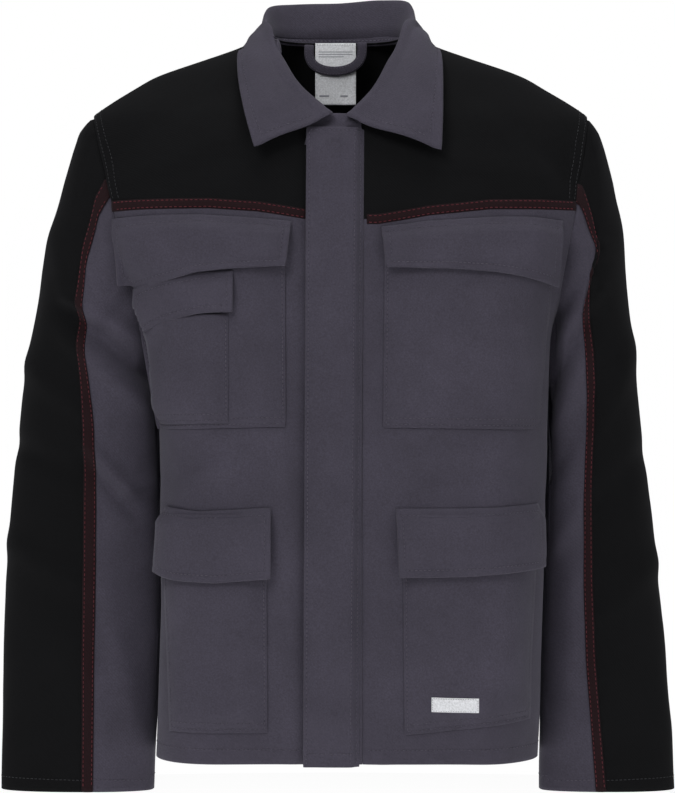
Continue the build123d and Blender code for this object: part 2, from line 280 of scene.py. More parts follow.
# ridges and valleys of the front, each (start, end, height, width) in (x, z)
FRONT_CREASES = [
    ((-150, -470), (-60, -415), 2.2, 12),
    ((-168, -452), (-95, -425), -2.0, 9),
    ((60, -455), (190, -430), 1.6, 12),
    ((120, -415), (205, -470), -1.6, 10),
    ((-52, -420), (-44, -690), 1.4, 10),
    ((48, -600), (44, -720), 1.4, 9),
    ((-170, -470), (-178, -400), -3.0, 10),
    ((-120, -120), (-215, -160), 1.8, 16),
    ((70, -130), (190, -150), 1.6, 16),
    ((-100, -60), (-190, -110), -1.2, 12),
    ((150, -80), (225, -150), -1.4, 12),
]


# ---- meshes
def normalized(vectors):
    return vectors / np.maximum(np.linalg.norm(vectors, axis=-1, keepdims=True), 1e-9)


def grid_normals(points, towards):
    """Unit normals of a grid of points, on the side that faces the way `towards` points on average."""
    normal = normalized(np.cross(np.gradient(points, axis=0), np.gradient(points, axis=1)))
    return normal if (normal * towards).sum() > 0 else -normal


def new_object(name, verts, faces, material, smooth=True):
    mesh = bpy.data.meshes.new(name)
    mesh.from_pydata([tuple(v) for v in np.asarray(verts) * MM], [], [tuple(f) for f in faces])
    mesh.materials.append(material)
    mesh.update()
    if smooth:
        mesh.polygons.foreach_set("use_smooth", [True] * len(mesh.polygons))
    obj = bpy.data.objects.new(name, mesh)
    bpy.context.scene.collection.objects.link(obj)
    return obj


def shell(name, outer, normals, thickness, material):
    """A thin closed piece of cloth under a grid of outer points, with a rounded rim."""
    rows, cols = outer.shape[:2]
    count = rows * cols
    inner = outer - normals * thickness
    flip = (np.cross(np.gradient(outer, axis=0), np.gradient(outer, axis=1)) * normals).sum() < 0
    index = np.arange(count).reshape(rows, cols)
    quads = np.stack([index[:-1, :-1], index[1:, :-1], index[1:, 1:], index[:-1, 1:]], -1).reshape(-1, 4)
    turned = quads[:, ::-1]
    ring = np.concatenate([index[:-1, 0], index[-1, :-1], index[:0:-1, -1], index[0, :0:-1]])
    following = np.roll(ring, -1)
    edge_out, edge_in = outer.reshape(-1, 3)[ring], inner.reshape(-1, 3)[ring]
    middle = (edge_out + edge_in) / 2
    run = np.roll(middle, -1, 0) - np.roll(middle, 1, 0)
    outward = normalized(np.cross(run, edge_out - edge_in))
    sign = np.sign(((middle - outer[rows // 2, cols // 2]) * outward).sum()) or 1
    rim = 2 * count + np.arange(len(ring))
    rim_next = np.roll(rim, -1)
    verts = [outer.reshape(-1, 3), inner.reshape(-1, 3), middle + outward * sign * thickness * 0.42]
    faces = [turned if flip else quads, (quads if flip else turned) + count,
             np.stack([ring, following, rim_next, rim], 1),
             np.stack([rim, rim_next, following + count, ring + count], 1)]
    obj = new_object(name, np.vstack(verts), np.vstack(faces), material)
    mesh = bmesh.new()
    mesh.from_mesh(obj.data)
    bmesh.ops.recalc_face_normals(mesh, faces=mesh.faces)
    mesh.to_mesh(obj.data)
    mesh.free()
    return obj


def resample(line, count):
    line = np.asarray(line, float)
    steps = arc_length(line)
    want = np.linspace(0, steps[-1], count)
    return np.stack([np.interp(want, steps, line[:, k]) for k in range(line.shape[1])], 1)


def coons(bottom, top, left, right, step):
    """A grid over a four-sided outline. bottom and top run left to right, left and right run upwards."""
    def length(line):
        return arc_length(np.asarray(line, float))[-1]

    nu = max(int(max(length(bottom), length(top)) / step), 3) + 1
    nv = max(int(max(length(left), length(right)) / step), 3) + 1
    b, t = resample(bottom, nu)[:, None], resample(top, nu)[:, None]
    le, ri = resample(left, nv)[None], resample(right, nv)[None]
    u = np.linspace(0, 1, nu)[:, None, None]
    v = np.linspace(0, 1, nv)[None, :, None]
    corners = (b[0, 0] * (1 - u) + b[-1, 0] * u) * (1 - v) + (t[0, 0] * (1 - u) + t[-1, 0] * u) * v
    return (1 - v) * b + v * t + (1 - u) * le + u * ri - corners


# ---- materials
def shader(name):
    material = bpy.data.materials.new(name)
    material.use_nodes = True
    tree = material.node_tree
    return material, tree, tree.nodes["Principled BSDF"]


def node(tree, kind, **values):
    made = tree.nodes.new(kind)
    for key, value in values.items():
        if hasattr(made, key):
            setattr(made, key, value)
        else:
            made.inputs[key.replace("_", " ")].default_value = value
    return made


def scaled_by(tree, source, factor, offset):
    """source * factor + offset; the offset may be another output."""
    made = node(tree, "ShaderNodeMath", operation="MULTIPLY_ADD")
    tree.links.new(source, made.inputs[0])
    made.inputs[1].default_value = factor
    if isinstance(offset, float):
        made.inputs[2].default_value = offset
    else:
        tree.links.new(offset, made.inputs[2])
    return made.outputs[0]


def add_bump(tree, surface, height, strength, distance):
    bump = node(tree, "ShaderNodeBump", Strength=strength, Distance=distance)
    tree.links.new(height, bump.inputs["Height"])
    tree.links.new(bump.outputs[0], surface.inputs["Normal"])


def cloth_material(name, color, sheen=0.25, rough=0.86, mottle=0.16, thread=1150.0, gloss=0.25):
    """Twill: fine diagonal ribs, slubs, soft blotches and a light bloom at grazing angles."""
    material, tree, surface = shader(name)
    link = tree.links.new
    where = node(tree, "ShaderNodeTexCoord")
    blotch = node(tree, "ShaderNodeTexNoise", Scale=16.0, Detail=5.0, Roughness=0.62)
    slub = node(tree, "ShaderNodeTexNoise", Scale=620.0, Detail=2.0, Roughness=0.6)
    ribs = node(tree, "ShaderNodeTexWave", bands_direction="DIAGONAL", Scale=thread / 6.0, Distortion=1.6,
                Detail=1.0)
    cross = node(tree, "ShaderNodeTexWave", bands_direction="Z", Scale=thread / 4.0, Distortion=2.2,
                 Detail=1.0)
    for texture in (blotch, slub, ribs, cross):
        link(where.outputs["Object"], texture.inputs["Vector"])
    weave = scaled_by(tree, ribs.outputs["Fac"], 0.6, cross.outputs["Fac"])
    add_bump(tree, surface, scaled_by(tree, slub.outputs["Fac"], 0.8, weave), 0.35, 0.0004)
    tone = scaled_by(tree, blotch.outputs["Fac"], mottle * 2.2, 1.0 - mottle * 1.1)
    grain = scaled_by(tree, slub.outputs["Fac"], 0.80, 0.60)
    shade = node(tree, "ShaderNodeMath", operation="MULTIPLY")
    link(tone, shade.inputs[0])
    link(grain, shade.inputs[1])
    scaled = node(tree, "ShaderNodeVectorMath", operation="SCALE")
    scaled.inputs[0].default_value = color
    link(shade.outputs[0], scaled.inputs["Scale"])
    link(scaled.outputs[0], surface.inputs["Base Color"])
    surface.inputs["Roughness"].default_value = rough
    surface.inputs["Specular IOR Level"].default_value = gloss
    surface.inputs["Sheen Weight"].default_value = sheen
    surface.inputs["Sheen Roughness"].default_value = 0.5
    surface.inputs["Sheen Tint"].default_value = (0.8, 0.8, 0.9, 1)
    return material


def thread_material(name, color):
    """Twisted sewing thread."""
    material, tree, surface = shader(name)
    where = node(tree, "ShaderNodeTexCoord")
    twist = node(tree, "ShaderNodeTexWave", bands_direction="DIAGONAL", Scale=900.0, Distortion=0.5)
    tree.links.new(where.outputs["Object"], twist.inputs["Vector"])
    add_bump(tree, surface, twist.outputs["Fac"], 0.4, 0.0002)
    surface.inputs["Base Color"].default_value = (*color, 1)
    surface.inputs["Roughness"].default_value = 0.55
    return material


def lacquer_material(name):
    """Dark lacquered metal with a little wear."""
    material, tree, surface = shader(name)
    surface.inputs["Base Color"].default_value = (0.05, 0.046, 0.06, 1)
    surface.inputs["Metallic"].default_value = 0.7
    wear = node(tree, "ShaderNodeTexNoise", Scale=900.0, Detail=3.0)
    gloss = node(tree, "ShaderNodeMapRange", To_Min=0.28, To_Max=0.5)
    tree.links.new(wear.outputs["Fac"], gloss.inputs["Value"])
    tree.links.new(gloss.outputs[0], surface.inputs["Roughness"])
    return material


def print_material(name):
    """Grey print on a woven label."""
    material, tree, surface = shader(name)
    surface.inputs["Base Color"].default_value = (0.30, 0.31, 0.34, 1)
    surface.inputs["Roughness"].default_value = 0.7
    grain = node(tree, "ShaderNodeTexNoise", Scale=1200.0, Detail=2.0)
    add_bump(tree, surface, grain.outputs["Fac"], 0.2, 0.0002)
    return material


GREY = cloth_material("grey_twill", (0.052, 0.0465, 0.066), sheen=0.12, mottle=0.3)
BLACK = cloth_material("black_twill", (0.0030, 0.0031, 0.0037), sheen=0.02, mottle=0.3, gloss=0.13)
LINING = cloth_material("inside_twill", (0.040, 0.036, 0.050), sheen=0.08)
TAPE = cloth_material("maroon_band", (0.0125, 0.0034, 0.0048), sheen=0.04, gloss=0.18)
LABEL = cloth_material("label_weave", (0.78, 0.79, 0.82), sheen=0.0, rough=0.6, mottle=0.05, thread=2600.0)
GREY_THREAD = thread_material("grey_thread", (0.082, 0.074, 0.100))
PALE_THREAD = thread_material("pale_thread", (0.14, 0.13, 0.17))
BLACK_THREAD = thread_material("black_thread", (0.030, 0.031, 0.036))
RED_THREAD = thread_material("red_thread", (0.13, 0.010, 0.020))
SNAP = lacquer_material("snap_lacquer")
PRINT = print_material("label_print")


def settle(obj, body, nodes=(), bend=None):
    """Puts a piece on its body, hiding its CAD nodes. bend is (other body, start, end); with one, the piece
    is only baked in place, not attached, and the bend's values go unused.
    """
    if bend:
        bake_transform(obj)
    else:
        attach(obj, body)
    if nodes:
        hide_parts(*nodes)
    return obj


# ---- stitches
def stitch_mesh(name, points, normals, material, length=3.0, gap=1.3, width=0.7, height=0.45):
    """A row of sewn stitches along a line of surface points: small rounded lozenges."""
    steps = arc_length(points)
    count = int(steps[-1] // (length + gap))
    if count < 1:
        return None
    centres = (np.arange(count) + 0.5) * (length + gap)

    def at(rows, s):
        return np.stack([np.interp(s, steps, rows[:, k]) for k in range(3)], 1)

    middle, up = at(points, centres), normalized(at(normals, centres))
    along = normalized(at(points, centres + 0.5) - at(points, centres - 0.5))
    across = np.cross(along, up)
    end, waist = length / 2, length * 0.3
    # a lozenge's corners: along the row, across it, and up from the cloth
    corners = np.array([(-end, 0, -0.1), (-waist, 1, 0.1), (-waist, 0, 1), (-waist, -1, 0.1),
                        (waist, 1, 0.1), (waist, 0, 1), (waist, -1, 0.1), (end, 0, -0.1)])
    size = np.array([1, width / 2, height])
    frames = np.stack([along, across, up], 1)
    verts = middle[:, None] + (corners * size) @ frames
    pattern = np.array([(0, 2, 1), (0, 3, 2), (1, 2, 5), (1, 5, 4), (2, 3, 6), (2, 6, 5),
                        (4, 5, 7), (5, 6, 7), (0, 1, 3), (1, 4, 3), (3, 4, 6), (4, 7, 6)])
    faces = (pattern[None] + (np.arange(count) * 8)[:, None, None]).reshape(-1, 3)
    return new_object(name, verts.reshape(-1, 3), faces, material)


def join(name, objects):
    objects = [o for o in objects if o]
    with bpy.context.temp_override(active_object=objects[0], selected_editable_objects=objects):
        bpy.ops.object.join()
    objects[0].name = name
    return objects[0]


# ---- pieces laid on the torso
def front_base(x, z, reach=None):
    """Point and outward unit normal of the folded torso front at places of the front view.
    With reach, it goes straight on sideways instead of following the torso's side back past that y."""
    x, z = np.broadcast_arrays(np.asarray(x, float), np.asarray(z, float))

    def place(px, pz):
        y = form_y(px, pz, -1)
        if reach is not None:
            y = reach - 5.0 * np.logaddexp(0.0, (reach - y) / 5.0)
        return np.stack([px, y, pz], -1)

    point = place(x, z)
    normal = normalized(np.cross(place(x + 2, z) - place(x - 2, z), place(x, z + 2) - place(x, z - 2)))
    if reach is not None:
        normal = normalized(normal * (0.22, 1, 0.8))
    return point + normal * torso_folds(point)[..., None], normal


class Sheet:
    """A grid of cloth: outer points, normals, and each point's distance in mm from the four edges."""

    def __init__(self, outer, normals):
        self.outer, self.normals = outer, normals
        across = np.linalg.norm(np.diff(outer, axis=0), axis=2)
        upward = np.linalg.norm(np.diff(outer, axis=1), axis=2)
        rows, cols = outer.shape[:2]
        run_u = np.vstack([np.zeros((1, cols)), np.cumsum(across, 0)])
        run_v = np.hstack([np.zeros((rows, 1)), np.cumsum(upward, 1)])
        self.left, self.right = run_u, run_u[-1:] - run_u
        self.low, self.top = run_v, run_v[:, -1:] - run_v

    def at(self, s, t):
        rows, cols = self.outer.shape[:2]
        s, t = np.broadcast_arrays(np.asarray(s, float), np.asarray(t, float))
        i, j = s * (rows - 1), t * (cols - 1)
        return bilinear(self.outer, i, j), normalized(bilinear(self.normals, i, j))

    def line(self, edge, inset, trim=(0.0, 0.0)):
        """Points and normals along an edge, drawn in by inset, its ends trimmed by distances."""
        rows, cols = self.outer.shape[:2]
        wide = self.left[-1].mean()
        tall = self.low[:, -1].mean()
        run = np.linspace(0, 1, 90)
        if edge in ("low", "top"):
            run = run * (1 - (trim[0] + trim[1]) / wide) + trim[0] / wide
            t = inset / tall if edge == "low" else 1 - inset / tall
            return self.at(run, np.full_like(run, t))
        run = run * (1 - (trim[0] + trim[1]) / tall) + trim[0] / tall
        s = inset / wide if edge == "left" else 1 - inset / wide
        return self.at(np.full_like(run, s), run)


def seam_dip(distance, at, depth=0.35, width=1.5):
    """The shallow groove that a row of stitches pulls into the cloth."""
    return -depth * np.exp(-((distance - at) / width) ** 2)


def front_sheet(low, top, left, right, height, step=3.0, reach=None):
    """A Sheet over an outline of the front view. height(sheet, x, z) is how far it stands off."""
    grid = coons(low, top, left, right, step)
    x, z = grid[..., 0], grid[..., 1]
    point, normal = front_base(x, z, reach)
    flat = Sheet(point, normal)
    lifted = point + normal * height(flat, x, z)[..., None]
    return Sheet(lifted, grid_normals(lifted, normal))


def quad_outline(a, b, c, d):
    """Edges of an outline from its low left, low right, top right and top left corners."""
    return [a, b], [d, c], [a, d], [b, c]


def sewn(name, sheet, lines, material, body, bend=None, **how):
    """Rows of stitches on a sheet, one object. lines are (edge, inset, trim)."""
    rows = [stitch_mesh(name, *sheet.line(*line), material, **how) for line in lines]
    return settle(join(name, rows), body, bend=bend)


def edge_rows(inset, trim, edges=("left", "right", "low", "top")):
    return [(edge, inset, trim) for edge in edges]


def ease(value):
    value = np.clip(value, 0, 1)
    return value * value * (3 - 2 * value)


# ---- armhole, side and neck lines
def plane_x(side, z):
    (top_x, top_z), (pit_x, pit_z) = ARMHOLE[side]
    return pit_x + (top_x - pit_x) * (np.asarray(z, float) - pit_z) / (top_z - pit_z)


def widest(side, z):
    x_low, x_high = form_at(z)[:2]
    return x_high if side > 0 else x_low


def armhole_ends(side):
    """Heights of the shoulder tip and of the armpit, where the plane meets the torso's widest line."""
    zs = np.arange(-60.0, -300.0, -0.5)
    beyond = side * (widest(side, zs) - plane_x(side, zs)) > 0
    inside = zs[beyond]
    return inside[0], inside[-1]


ENDS = {side: armhole_ends(side) for side in (-1, 1)}
TIP = {side: ends[0] for side, ends in ENDS.items()}
PIT = {side: ends[1] for side, ends in ENDS.items()}


def side_line(side, face, top_z):
    """(u, z) up the side seam, along the armhole's floor, and up the armhole to a height."""
    zs = np.linspace(HEM_Z, PIT[side], 60)
    seam = np.stack([np.interp(zs, FORM_Z, SIDE_U[side, face]), zs], 1)
    zs = np.linspace(PIT[side] + 1, top_z, 40)
    hole = np.stack([u_of_x(plane_x(side, zs), zs, side, face), zs], 1)
    return np.vstack([seam, hole])


def seam_z(side, x):
    line = np.array(YOKE_SEAM[side], float)
    return np.interp(x, line[:, 0], line[:, 1])


def signed_ring(u, z, side, face):
    """ring_point, going straight on past the centre line where u is below 0."""
    point = ring_point(np.maximum(u, 0), z, side, face)
    point[..., 0] += side * np.minimum(u, 0)
    return point


def body_sheet(points, towards, lift=BODY_CLOTH):
    """Folded cloth over points of the form. Its folds are weaker on the flanks, beside the sleeves."""
    normal = grid_normals(points, towards)
    calm = 1 - 0.75 * np.abs(normal[..., 0]) ** 3
    folded = points + normal * (torso_folds(points) * calm + lift)[..., None]
    return Sheet(folded, grid_normals(folded, normal))


def add(name, sheet, thickness, material, body, nodes=(), bend=None):
    return settle(shell(name, sheet.outer, sheet.normals, thickness, material), body, nodes, bend)


def armhole_line(side, face, low_z):
    """(x, arc length below the shoulder line) up the armhole from a height to the shoulder's tip."""
    zs = np.linspace(low_z, TIP[side], 40)
    xs = plane_x(side, zs)
    line = np.stack([xs, w_of_z(xs, zs, face)], 1)
    line[-1, 1] = 0
    return line


def neck_hole(places, side, face):
    """(x, arc length below the shoulder line) for places (x, y) of the neck seam."""
    line = []
    for x, y in places:
        ys = arch_column(side * x, face)[:, 0]
        line.append((side * x, np.interp(face * y, face * ys, ARCH_ALONG)))
    return line


BAND_STITCH = {"length": 3.2, "gap": 1.6, "width": 0.8}


def band(name, sheet, cad_node):
    """A contrast band on the torso, with a row of stitches along each edge."""
    add(name, sheet, BAND_CLOTH, TAPE, "torso", [cad_node])
    rows = edge_rows(1.6, (1, 1), ("low", "top"))
    sewn(name + "_stitches", sheet, rows, RED_THREAD, "torso", **BAND_STITCH)



CENTRE = np.array([8.0, 0.0, 0.0])
EDGE_U = {-1: -24.0, 1: 25.0}          # where the fronts end under the placket
YOKE_END_Z = -180.0                     # the yoke seam's height at the armhole
BELOW_SHOULDERS = (0, 0, -200)
SIDE_NAME = {-1: "right", 1: "left"}
# the neck seam from the shoulder line, (x, y): down the front and round the back
NECK_FRONT = [(66, 2), (66, -14), (65, -26), (61, -44), (56, -58), (47, -71), (37, -84), (24, -92), (12, -99)]
NECK_BACK = [(66, 2), (65, 16), (61, 30), (54, 42), (40, 53), (20, 57), (0, 58)]

HEM_ROW = 14            # the hem's stitches stand this far above its edge
SEAM_ROWS = ((2.5, (8, 3)), (9.0, (8, 3)))      # the double row along an armhole


def front_panel(side, xs):
    """The grey front, below the yoke seam's points xs."""
    name, edge = SIDE_NAME[side], EDGE_U[side]
    line = side_line(side, -1, YOKE_END_Z)
    zs = seam_z(side, xs)
    top = np.stack([np.where(np.abs(xs) < 60, side * xs, u_of_x(xs, zs, side, -1)), zs], 1)
    grid = coons([(edge, HEM_Z), line[0]], top, [(edge, HEM_Z), top[0]], line, 4.0)
    points = signed_ring(grid[..., 0], grid[..., 1], side, -1)
    sheet = body_sheet(points, points * (1, 1, 0) - CENTRE)
    groove = seam_dip(sheet.low, HEM_ROW, 0.5, 1.6)
    sheet = Sheet(sheet.outer + sheet.normals * groove[..., None], sheet.normals)
    add(f"{name}_front", sheet, BODY_CLOTH, GREY, "torso", [f"{name}_front_panel"])
    sewn(f"{name}_hem_stitches", sheet, [("low", HEM_ROW, (4, 2))], GREY_THREAD, "torso")


def front_yoke(side, xs):
    """The black yoke above it: the shoulder line on top, the neck and the front's edge on the inner side."""
    name, edge_x = SIDE_NAME[side], side * EDGE_U[side]
    hole = armhole_line(side, -1, YOKE_END_Z)
    neck = neck_hole(NECK_FRONT, side, -1)
    low_w = w_of_z(xs, seam_z(side, xs), -1)
    top_w = w_of_z(edge_x, -97.0, -1)
    inner = [(edge_x, low_w[0]), (edge_x, top_w)] + neck[::-1]
    shoulder = [(hole[-1, 0], 0.0), (side * 66, neck[0][1])]
    grid = coons(np.stack([xs, low_w], 1)[::-1], shoulder, hole, inner, 3.5)
    points = arch_point(grid[..., 0], grid[..., 1], -1)
    sheet = body_sheet(points, points - BELOW_SHOULDERS)
    add(f"{name}_yoke", sheet, BODY_CLOTH, BLACK, "torso", [f"{name}_front_yoke"])
    rows = [("left", *row) for row in SEAM_ROWS] + [("top", 4.0, (3, 3)), ("top", 11.0, (3, 3))]
    sewn(f"{name}_yoke_stitches", sheet, rows, BLACK_THREAD, "torso", height=0.35, width=0.6)


def back_panel():
    """The grey back, one piece from side seam to side seam."""
    left, right = side_line(-1, 1, BACK_SEAM_Z) * (-1, 1), side_line(1, 1, BACK_SEAM_Z)
    low = [left[0], (0.0, HEM_Z), right[0]]
    top = [left[-1], (0.0, BACK_SEAM_Z), right[-1]]
    grid = coons(low, top, left, right, 4.5)
    right_half = signed_ring(np.maximum(grid[..., 0], 0), grid[..., 1], 1, 1)
    left_half = signed_ring(np.maximum(-grid[..., 0], 0), grid[..., 1], -1, 1)
    points = np.where(grid[..., :1] > 0, right_half, left_half)
    sheet = body_sheet(points, points * (1, 1, 0) - CENTRE)
    add("back", sheet, BODY_CLOTH, GREY, "torso", ["back_panel"])
    sewn("back_hem_stitches", sheet, [("low", HEM_ROW, (4, 4))], GREY_THREAD, "torso")


def back_yoke(holes):
    """The black yoke of the back, between its two armholes."""
    xs = np.linspace(holes[-1][0, 0], holes[1][0, 0], 60)
    low = np.stack([xs, w_of_z(xs, BACK_SEAM_Z, 1)], 1)
    neck = neck_hole(NECK_BACK, 1, 1)
    neck = [(-x, w) for x, w in neck] + neck[::-1][1:]
    top = [(holes[-1][-1, 0], 0.0), (-160, 0.0)] + neck + [(160, 0.0), (holes[1][-1, 0], 0.0)]
    grid = coons(low, top, holes[-1], holes[1], 4.0)
    points = arch_point(grid[..., 0], grid[..., 1], 1)
    sheet = body_sheet(points, points - BELOW_SHOULDERS)
    add("back_yoke_cloth", sheet, BODY_CLOTH, BLACK, "torso", ["back_yoke"])
    rows = [(edge, *row) for edge in ("left", "right") for row in SEAM_ROWS]
    sewn("back_yoke_stitches", sheet, rows, BLACK_THREAD, "torso")


for side in (-1, 1):
    seam_xs = np.linspace(side * EDGE_U[side], plane_x(side, YOKE_END_Z), 50)
    front_panel(side, seam_xs)
    front_yoke(side, seam_xs)
back_panel()
back_holes = {side: armhole_line(side, 1, BACK_SEAM_Z) for side in (-1, 1)}
back_yoke(back_holes)


# ---- contrast bands along the yoke seams
def band_sheet(xs, zs, half, height):
    """A strip of the front along a line of the front view."""
    run = np.stack([xs, zs], 1)
    turn = normalized(np.gradient(run, axis=0))
    side_step = np.stack([-turn[:, 1], turn[:, 0]], 1)
    offsets = np.linspace(-half, half, 5)
    grid = run[:, None] + side_step[:, None] * offsets[None, :, None]
    point, normal = front_base(grid[..., 0], grid[..., 1])
    arch = height - 0.5 * (np.abs(offsets) > half * 0.9)
    lifted = point + normal * arch[None, :, None]
    return Sheet(lifted, grid_normals(lifted, normal))


def back_band(holes):
    xs = np.linspace(holes[-1][0, 0], holes[1][0, 0], 150)
    down = w_of_z(xs, BACK_SEAM_Z, 1)[:, None] + np.linspace(-3.9, 3.9, 5)[None]
    points = arch_point(xs[:, None], down, 1)
    band("back_yoke_band", body_sheet(points, points - BELOW_SHOULDERS, 2.3), "back_yoke_tape")


for side, near in ((-1, 31.0), (1, 29.0)):
    xs = np.linspace(side * near, plane_x(side, YOKE_END_Z) - side * 0.5, 90)
    strip = band_sheet(xs, seam_z(side, xs), 4.8, 2.3)
    band(f"{SIDE_NAME[side]}_yoke_band", strip, f"{SIDE_NAME[side]}_yoke_tape")
back_band(back_holes)


# ---- patch pockets
CHEST_REACH = -70.0     # the chest pockets' sides don't follow the torso back past this y
POCKET_ROWS = [("left", 3, (3, 2)), ("right", 3, (3, 2)), ("low", 3, (3, 3)), ("low", 9, (3, 3))]


def pocket_height(sheet, x, z, base, seed, puff, reach=15.0):
    """Sewn down at the sides and bottom, slack in the middle, with a pressed hem."""
    edge = np.minimum(np.minimum(sheet.left, sheet.right), sheet.low)
    swell = puff * (1 - np.exp(-(edge / reach) ** 1.6))
    point = np.stack([x, np.full_like(x, seed * 50.0), z], -1)
    slack = (value_noise(point, 48, seed, (1, 1, 0.6)) * 1.7
             + value_noise(point, 30, seed + 40, (1, 1, 0.24)) * 2.0) * ease(edge / 25)
    dips = sum(seam_dip(d, 3.0) for d in (sheet.left, sheet.right, sheet.low))
    hem = 0.5 * np.exp(-(edge / 2.2) ** 2)
    return base + swell + slack + dips + hem


def pocket(name, outline, seed, reach=None):
    def height(sheet, x, z):
        return at_stud(pocket_height(sheet, x, z, 2.7, seed, 5.8), x, z, name, 8.9)

    sheet = front_sheet(*quad_outline(*outline), height, step=2.6, reach=reach)
    add(name + "_pouch", sheet, POCKET_CLOTH, GREY, "torso", [name + "_pocket"])
    sewn(name + "_pouch_stitches", sheet, POCKET_ROWS, GREY_THREAD, "torso")
    return sheet


right_chest = pocket("right_chest", [(-180, -402), (-51, -399), (-52, -206), (-214, -206)], 21, CHEST_REACH)
left_chest = pocket("left_chest", [(45, -400), (204, -402), (216, -206), (47, -206)], 22, CHEST_REACH)
right_lower = pocket("right_lower", [(-162, -699), (-69, -699), (-70, -486), (-168, -486)], 23)
left_lower = pocket("left_lower", [(66, -701), (190, -688), (198, -486), (64, -486)], 24)


def on_pocket(sheet, reach=None):
    """How far a pocket stands off the torso at places of the front view."""
    flat = sheet.outer.reshape(-1, 3)
    lift = np.linalg.norm(flat - front_base(flat[:, 0], flat[:, 2], reach)[0], axis=1)

    def stand_off(x, z):
        out = np.zeros(x.shape)
        for index in np.ndindex(x.shape):
            gap = (flat[:, 0] - x[index]) ** 2 + (flat[:, 2] - z[index]) ** 2
            near = np.argpartition(gap, 6)[:6]
            weight = 1 / (gap[near] + 1.0)
            out[index] = (lift[near] * weight).sum() / weight.sum()
        return out

    return stand_off


chest_off = on_pocket(right_chest, CHEST_REACH)


def phone_height(sheet, x, z):
    return chest_off(x, z) + pocket_height(sheet, x, z, 0.6, 25, 3.6, 11.0)


sheet = front_sheet(*quad_outline((-176, -397), (-107, -396), (-107, -290), (-194, -290)), phone_height,
                    reach=CHEST_REACH)
add("phone_pouch", sheet, POCKET_CLOTH, GREY, "torso", ["phone_pocket"])
sewn("phone_pouch_stitches", sheet, POCKET_ROWS, GREY_THREAD, "torso")


# ---- flaps
def flap_height(sheet, base, seed, out, x, z, sag=0.0):
    """Sewn at the top, standing over its pocket, with pressed edges and slightly lifted corners."""
    fall = ease(sheet.top / 16)
    edge = np.minimum(np.minimum(sheet.left, sheet.right), sheet.low)
    side_edge = np.minimum(sheet.left, sheet.right)
    point = np.stack([x, np.full_like(x, seed * 70.0), z], -1)
    slack = value_noise(point, 55, seed, (1, 1, 0.5)) * 1.3 * fall
    drop = out * fall * (0.72 + 0.28 * ease(side_edge / 22))
    corner = 1.3 * np.exp(-(side_edge / 26) ** 2) * np.exp(-(sheet.low / 30) ** 2)
    dips = sum(seam_dip(d, 6.5, 0.4) for d in (sheet.left, sheet.right, sheet.low, sheet.top))
    roll = 0.5 * np.exp(-(edge / 3.0) ** 2) + sag * ease(sheet.top / 60) * np.sin(x / 27.0)
    return base + drop + slack + corner + dips + roll


def flap(name, low, top, seed, hinge_z, out=9.8, base=4.0, under=None, sag=0.0, reach=None):
    """A flap between its lower and upper edges, each from the body's right to its left."""
    body = name + "_flap"

    def height(sheet, x, z):
        lift = flap_height(sheet, base, seed, out, x, z, sag)
        if name in FLAP_STUDS:
            lift = at_stud(lift, x, z, name, 14.0)
        return lift + (under(x, z) if under else 0)

    sheet = front_sheet(low, top, [low[0], top[0]], [low[-1], top[-1]], height, step=2.4, reach=reach)
    bend = ("torso", (0, -130, hinge_z + 1), (0, -130, hinge_z - 15))
    add(body + "_cloth", sheet, FLAP_CLOTH, GREY, body, [body], bend)
    rows = edge_rows(6.5, (6.5, 2), ("left", "right")) + [("low", 6.5, (6.5, 6.5)), ("top", 6.5, (2, 2))]
    sewn(body + "_cloth_stitches", sheet, rows, GREY_THREAD, body, bend)


flap("right_chest", [(-217, -260), (-195, -259), (-165, -254), (-140, -248.5), (-110, -245), (-51, -242)],
     [(-222, -194), (-180, -193), (-135, -192.5), (-90, -195), (-46, -199)], 31, -195, sag=0.6, reach=-86)
flap("left_chest", [(48, -243), (110, -244.5), (154, -247.5), (185, -252), (217, -259)],
     [(44, -204), (90, -198), (154, -194), (190, -194), (222, -197)], 32, -197, sag=0.6, reach=-86)
flap("right_lower", [(-168, -543), (-150, -549), (-120, -551), (-66, -547)],
     [(-166, -479), (-136, -483), (-100, -481), (-66, -479)], 33, -480)
flap("left_lower", [(61, -546), (125, -545), (160, -542), (197, -538)],
     [(58, -480), (125, -480), (160, -479), (197, -476)], 34, -480)
flap("phone", [(-194, -296.5), (-165, -292), (-135, -288), (-103, -287)],
     [(-197, -256), (-162, -252), (-135, -249), (-103, -247)], 35, -250, out=4.6, base=1.2, under=chest_off,
     reach=-74)


# ---- the front placket
def placket_height(sheet, x, z, out=6.4, marks=True):
    """Sewn down at the wearer's left, standing over its studs, which show as faint rings."""
    held = ease(sheet.right / 9)
    point = np.stack([x * 0, np.full_like(x, 400.0), z], -1)
    slack = value_noise(point, 70, 41) * 0.9 * ease(sheet.right / 40)
    lift = 2.6 + out * held + slack
    dips = seam_dip(sheet.right, 3.0, 0.45) + seam_dip(sheet.right, 9.0, 0.45)
    if marks:
        for stud_z in STUD_Z:
            r = np.hypot(x - STUD_X, z - stud_z)
            lift = lift + 0.75 * np.exp(-((r - 5.6) / 1.2) ** 2) - 0.3 * np.exp(-(r / 4.0) ** 2)
    return lift + dips


